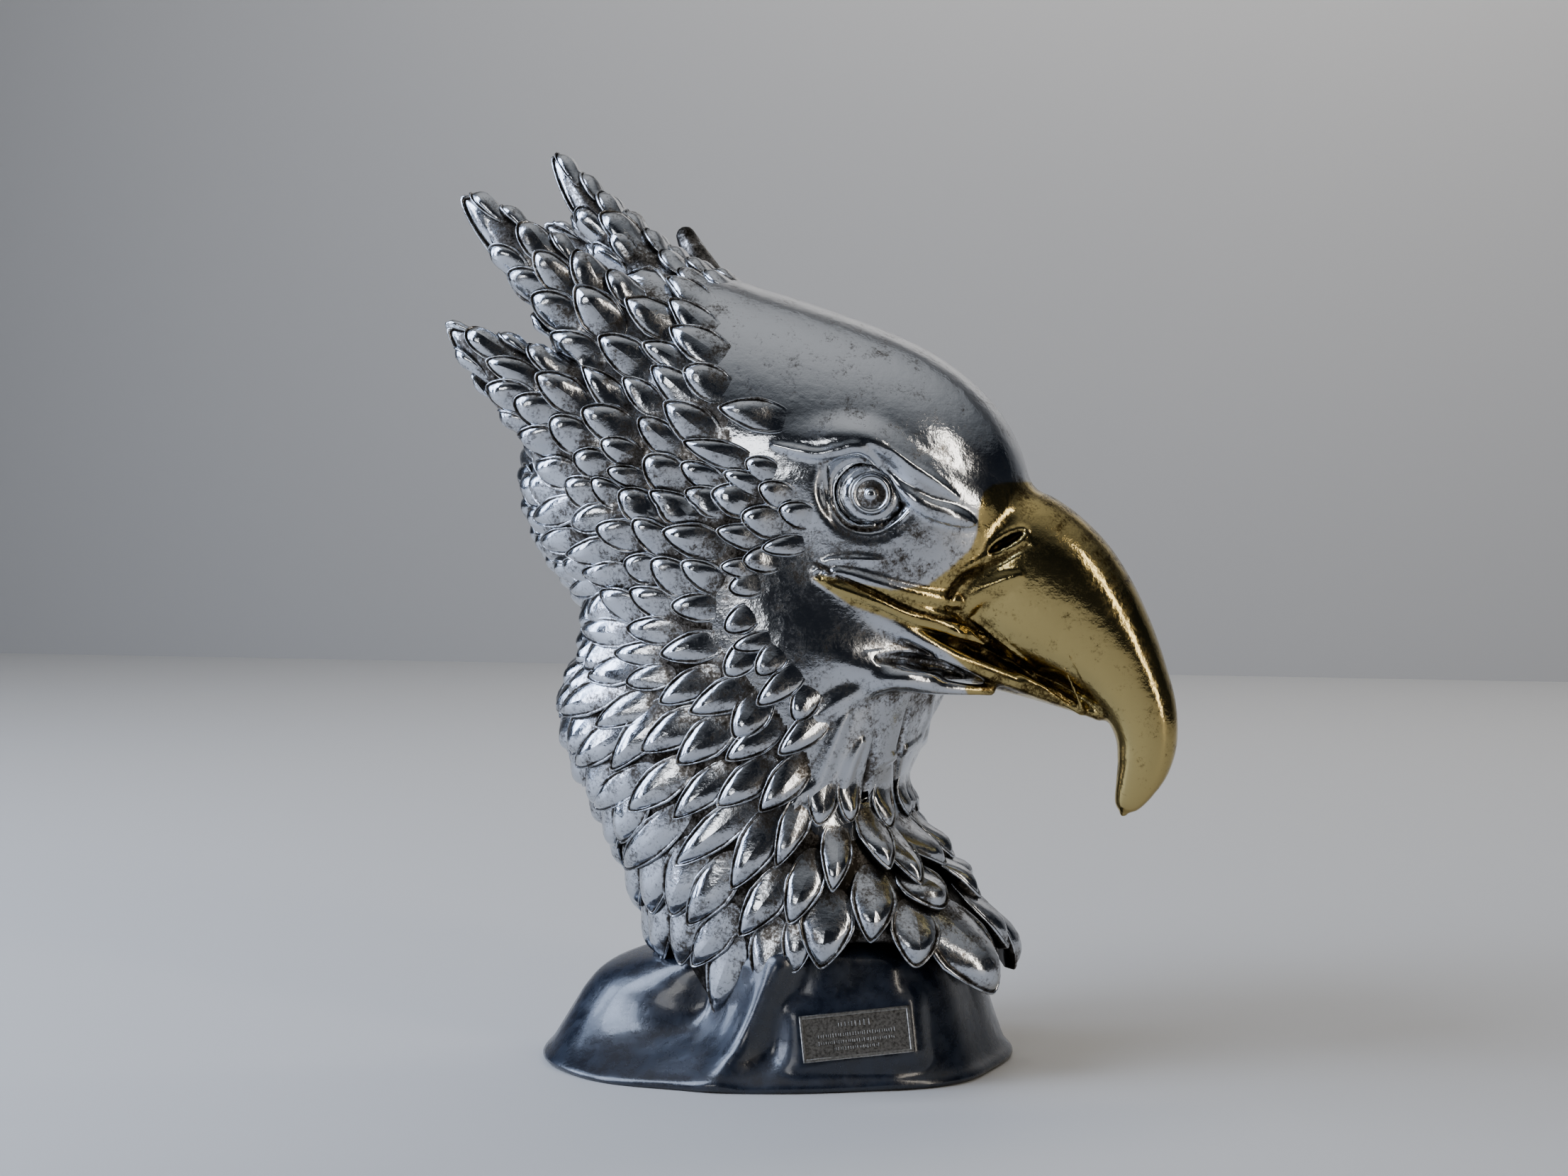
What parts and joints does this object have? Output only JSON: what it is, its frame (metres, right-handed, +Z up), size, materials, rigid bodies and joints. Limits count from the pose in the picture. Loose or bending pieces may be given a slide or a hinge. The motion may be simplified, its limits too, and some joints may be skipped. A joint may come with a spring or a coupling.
{
  "type": "eagle bust sculpture",
  "caption": "Silvered eagle head and neck with overlapping feathers, swept crest and gold hooked beak, on a dark lacquered rock-like mound with a small plate.",
  "frame": {"origin": "middle of the bounding box at the level of the base's underside", "axes": "+Z up, +X the way the beak points, +Y to the eagle's left; the side seen in the picture faces -Y"},
  "size_m": [0.1916, 0.1004, 0.2523],
  "materials": {
    "bust": "polished silver plate with dark patina between the feathers; beak and gape gold plated",
    "base": "glossy dark navy lacquer on cast resin",
    "plaque": "satin pewter with a raised border"
  },
  "bodies": {
    "root": {"eagle_bust": "bust", "base": "base", "plaque": "plaque"}
  },
  "joints": []
}
